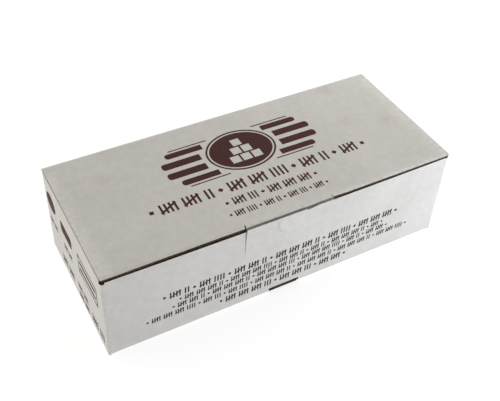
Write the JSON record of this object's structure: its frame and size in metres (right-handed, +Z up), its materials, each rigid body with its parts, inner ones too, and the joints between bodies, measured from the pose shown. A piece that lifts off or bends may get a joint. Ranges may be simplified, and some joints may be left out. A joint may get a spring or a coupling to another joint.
{
  "type": "chalk box",
  "caption": "Folding carton of corrugated card with a hinged tuck-tab lid, dust flaps and a springy front lip, packed with layers of square blackboard chalk sticks.",
  "frame": {"origin": "centre of the carton's base, on the surface it stands on", "axes": "+X along the front to the right, +Y from the front to the hinge, +Z up"},
  "size_m": [0.252, 0.1083, 0.0715],
  "materials": {
    "card": "matte grey-white liner, brown core",
    "chalk": "chalky matte"
  },
  "bodies": {
    "box": {"tray": "card", "chalk_layer_1": "chalk", "chalk_layer_2": "chalk", "chalk_layer_3": "chalk", "chalk_layer_4": "chalk", "chalk_layer_5": "chalk"},
    "lid": {"lid": "card"}
  },
  "joints": [
    {"name": "lid_hinge", "type": "hinge", "parent": "box", "child": "lid", "pos_m": [0, 0.053, 0.071], "axis": [-1, 0, 0], "range_deg": [0, 215]}
  ]
}
